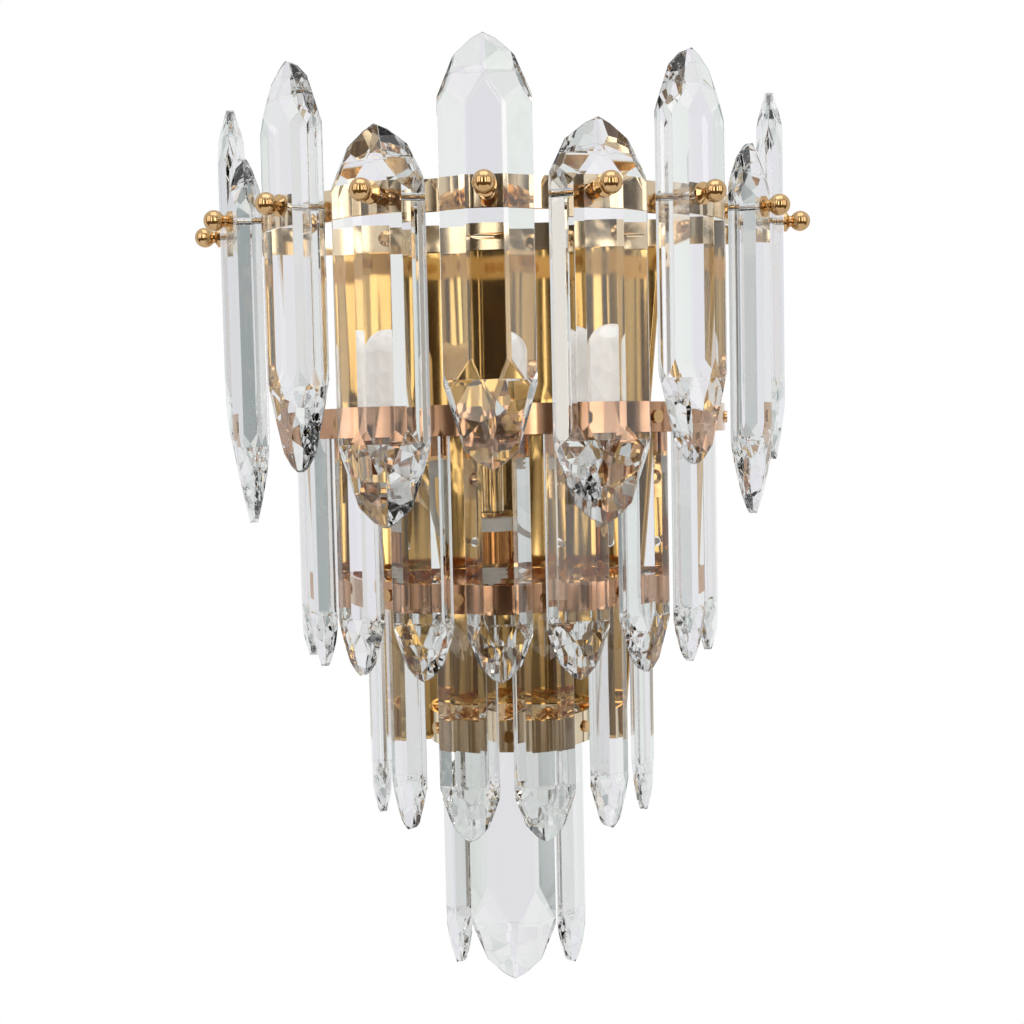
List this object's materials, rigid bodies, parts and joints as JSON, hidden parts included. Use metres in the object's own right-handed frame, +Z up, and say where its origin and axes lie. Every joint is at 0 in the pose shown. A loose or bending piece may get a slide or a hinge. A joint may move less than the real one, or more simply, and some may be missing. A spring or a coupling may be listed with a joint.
{
  "type": "crystal wall sconce",
  "caption": "Tiered wall sconce: pointed cut crystal bars hung from stacked D-shaped gold rings on a tapered gold backplate, with lamps inside.",
  "frame": {"origin": "middle of the crossbar's back face, on the wall", "axes": "+Z up, -Y out of the wall into the room, +X to the right seen from the room"},
  "size_m": [0.2908, 0.1706, 0.4185],
  "materials": {
    "crystal": "cut and polished clear crystal",
    "gold": "polished gold plate",
    "rose_gold": "polished rose gold plate",
    "zinc_steel": "bright zinc plate",
    "socket_ceramic": "glazed steatite ceramic",
    "frosted_glass": "frosted lamp glass",
    "clear_lamp_glass": "clear quartz lamp glass",
    "contact_metal": "bright nickel wire",
    "block_plastic": "moulded nylon",
    "lead_sleeve": "woven glass sleeve",
    "ground_green": "green dyed zinc"
  },
  "bodies": {
    "root": {"tier1_ring": "gold", "tier1_pins": "gold", "tier1_ball_nuts": "gold", "tier2_ring": "rose_gold", "tier2_pins": "gold", "tier2_ball_nuts": "gold", "tier3_ring": "rose_gold", "tier3_pins": "gold", "tier3_ball_nuts": "gold", "tier4_ring": "gold", "tier4_pins": "gold", "tier4_ball_nuts": "gold", "backplate": "gold", "crossbar": "zinc_steel", "mounting_studs": "zinc_steel", "cap_nuts": "gold", "plate_screws": "gold", "plate_nuts": "zinc_steel", "ground_screw": "ground_green", "terminal_block": "block_plastic", "lamp_leads": "lead_sleeve", "socket_cups": "rose_gold", "stem_nuts": "socket_ceramic", "bulb_contacts": "contact_metal", "upper_left_bracket": "gold", "upper_left_socket": "socket_ceramic", "upper_left_bulb": "frosted_glass", "upper_right_bracket": "gold", "upper_right_socket": "socket_ceramic", "upper_right_bulb": "frosted_glass", "lower_bracket": "gold", "lower_socket": "socket_ceramic", "lower_bulb": "clear_lamp_glass"},
    "tier1_bar_1": {"tier1_crystal_1": "crystal"},
    "tier1_bar_2": {"tier1_crystal_2": "crystal"},
    "tier1_bar_3": {"tier1_crystal_3": "crystal"},
    "tier1_bar_4": {"tier1_crystal_4": "crystal"},
    "tier1_bar_5": {"tier1_crystal_5": "crystal"},
    "tier1_bar_6": {"tier1_crystal_6": "crystal"},
    "tier1_bar_7": {"tier1_crystal_7": "crystal"},
    "tier1_bar_8": {"tier1_crystal_8": "crystal"},
    "tier1_bar_9": {"tier1_crystal_9": "crystal"},
    "tier2_bar_1": {"tier2_crystal_1": "crystal"},
    "tier2_bar_2": {"tier2_crystal_2": "crystal"},
    "tier2_bar_3": {"tier2_crystal_3": "crystal"},
    "tier2_bar_4": {"tier2_crystal_4": "crystal"},
    "tier2_bar_5": {"tier2_crystal_5": "crystal"},
    "tier2_bar_6": {"tier2_crystal_6": "crystal"},
    "tier2_bar_7": {"tier2_crystal_7": "crystal"},
    "tier2_bar_8": {"tier2_crystal_8": "crystal"},
    "tier2_bar_9": {"tier2_crystal_9": "crystal"},
    "tier3_bar_1": {"tier3_crystal_1": "crystal"},
    "tier3_bar_2": {"tier3_crystal_2": "crystal"},
    "tier3_bar_3": {"tier3_crystal_3": "crystal"},
    "tier3_bar_4": {"tier3_crystal_4": "crystal"},
    "tier3_bar_5": {"tier3_crystal_5": "crystal"},
    "tier3_bar_6": {"tier3_crystal_6": "crystal"},
    "tier4_bar_1": {"tier4_crystal_1": "crystal"},
    "tier4_bar_2": {"tier4_crystal_2": "crystal"},
    "tier4_bar_3": {"tier4_crystal_3": "crystal"}
  },
  "joints": [
    {"name": "tier1_swing_1", "type": "hinge", "parent": "root", "child": "tier1_bar_1", "pos_m": [-0.12724, -0.04544, 0.065], "axis": [-0.9848, -0.1736, 0], "range_deg": [-2, 2]},
    {"name": "tier1_swing_2", "type": "hinge", "parent": "root", "child": "tier1_bar_2", "pos_m": [-0.11189, -0.0876, 0.065], "axis": [-0.866, -0.5, 0], "range_deg": [-2, 2]},
    {"name": "tier1_swing_3", "type": "hinge", "parent": "root", "child": "tier1_bar_3", "pos_m": [-0.08305, -0.12197, 0.065], "axis": [-0.6428, -0.766, 0], "range_deg": [-2, 2]},
    {"name": "tier1_swing_4", "type": "hinge", "parent": "root", "child": "tier1_bar_4", "pos_m": [-0.04419, -0.14441, 0.065], "axis": [-0.342, -0.9397, 0], "range_deg": [-2, 2]},
    {"name": "tier1_swing_5", "type": "hinge", "parent": "root", "child": "tier1_bar_5", "pos_m": [0, -0.1522, 0.065], "axis": [0, -1, 0], "range_deg": [-2, 2]},
    {"name": "tier1_swing_6", "type": "hinge", "parent": "root", "child": "tier1_bar_6", "pos_m": [0.04419, -0.14441, 0.065], "axis": [0.342, -0.9397, 0], "range_deg": [-2, 2]},
    {"name": "tier1_swing_7", "type": "hinge", "parent": "root", "child": "tier1_bar_7", "pos_m": [0.08305, -0.12197, 0.065], "axis": [0.6428, -0.766, 0], "range_deg": [-2, 2]},
    {"name": "tier1_swing_8", "type": "hinge", "parent": "root", "child": "tier1_bar_8", "pos_m": [0.11189, -0.0876, 0.065], "axis": [0.866, -0.5, 0], "range_deg": [-2, 2]},
    {"name": "tier1_swing_9", "type": "hinge", "parent": "root", "child": "tier1_bar_9", "pos_m": [0.12724, -0.04544, 0.065], "axis": [0.9848, -0.1736, 0], "range_deg": [-2, 2]},
    {"name": "tier2_swing_1", "type": "hinge", "parent": "root", "child": "tier2_bar_1", "pos_m": [-0.09607, -0.03994, -0.0255], "axis": [-0.9848, -0.1736, 0], "range_deg": [-2, 2]},
    {"name": "tier2_swing_2", "type": "hinge", "parent": "root", "child": "tier2_bar_2", "pos_m": [-0.08448, -0.07178, -0.0255], "axis": [-0.866, -0.5, 0], "range_deg": [-2, 2]},
    {"name": "tier2_swing_3", "type": "hinge", "parent": "root", "child": "tier2_bar_3", "pos_m": [-0.0627, -0.09773, -0.0255], "axis": [-0.6428, -0.766, 0], "range_deg": [-2, 2]},
    {"name": "tier2_swing_4", "type": "hinge", "parent": "root", "child": "tier2_bar_4", "pos_m": [-0.03336, -0.11467, -0.0255], "axis": [-0.342, -0.9397, 0], "range_deg": [-2, 2]},
    {"name": "tier2_swing_5", "type": "hinge", "parent": "root", "child": "tier2_bar_5", "pos_m": [0, -0.12055, -0.0255], "axis": [0, -1, 0], "range_deg": [-2, 2]},
    {"name": "tier2_swing_6", "type": "hinge", "parent": "root", "child": "tier2_bar_6", "pos_m": [0.03336, -0.11467, -0.0255], "axis": [0.342, -0.9397, 0], "range_deg": [-2, 2]},
    {"name": "tier2_swing_7", "type": "hinge", "parent": "root", "child": "tier2_bar_7", "pos_m": [0.0627, -0.09773, -0.0255], "axis": [0.6428, -0.766, 0], "range_deg": [-2, 2]},
    {"name": "tier2_swing_8", "type": "hinge", "parent": "root", "child": "tier2_bar_8", "pos_m": [0.08448, -0.07178, -0.0255], "axis": [0.866, -0.5, 0], "range_deg": [-2, 2]},
    {"name": "tier2_swing_9", "type": "hinge", "parent": "root", "child": "tier2_bar_9", "pos_m": [0.09607, -0.03994, -0.0255], "axis": [0.9848, -0.1736, 0], "range_deg": [-2, 2]},
    {"name": "tier3_swing_1", "type": "hinge", "parent": "root", "child": "tier3_bar_1", "pos_m": [-0.0638, -0.04009, -0.1045], "axis": [-0.9659, -0.2588, 0], "range_deg": [-2, 2]},
    {"name": "tier3_swing_2", "type": "hinge", "parent": "root", "child": "tier3_bar_2", "pos_m": [-0.0467, -0.0697, -0.1045], "axis": [-0.7071, -0.7071, 0], "range_deg": [-2, 2]},
    {"name": "tier3_swing_3", "type": "hinge", "parent": "root", "child": "tier3_bar_3", "pos_m": [-0.01709, -0.0868, -0.1045], "axis": [-0.2588, -0.9659, 0], "range_deg": [-2, 2]},
    {"name": "tier3_swing_4", "type": "hinge", "parent": "root", "child": "tier3_bar_4", "pos_m": [0.01709, -0.0868, -0.1045], "axis": [0.2588, -0.9659, 0], "range_deg": [-2, 2]},
    {"name": "tier3_swing_5", "type": "hinge", "parent": "root", "child": "tier3_bar_5", "pos_m": [0.0467, -0.0697, -0.1045], "axis": [0.7071, -0.7071, 0], "range_deg": [-2, 2]},
    {"name": "tier3_swing_6", "type": "hinge", "parent": "root", "child": "tier3_bar_6", "pos_m": [0.0638, -0.04009, -0.1045], "axis": [0.9659, -0.2588, 0], "range_deg": [-2, 2]},
    {"name": "tier4_swing_1", "type": "hinge", "parent": "root", "child": "tier4_bar_1", "pos_m": [-0.02776, -0.03902, -0.1735], "axis": [-0.866, -0.5, 0], "range_deg": [-2, 2]},
    {"name": "tier4_swing_2", "type": "hinge", "parent": "root", "child": "tier4_bar_2", "pos_m": [0, -0.0538, -0.1735], "axis": [0, -1, 0], "range_deg": [-2, 2]},
    {"name": "tier4_swing_3", "type": "hinge", "parent": "root", "child": "tier4_bar_3", "pos_m": [0.02776, -0.03902, -0.1735], "axis": [0.866, -0.5, 0], "range_deg": [-2, 2]}
  ]
}
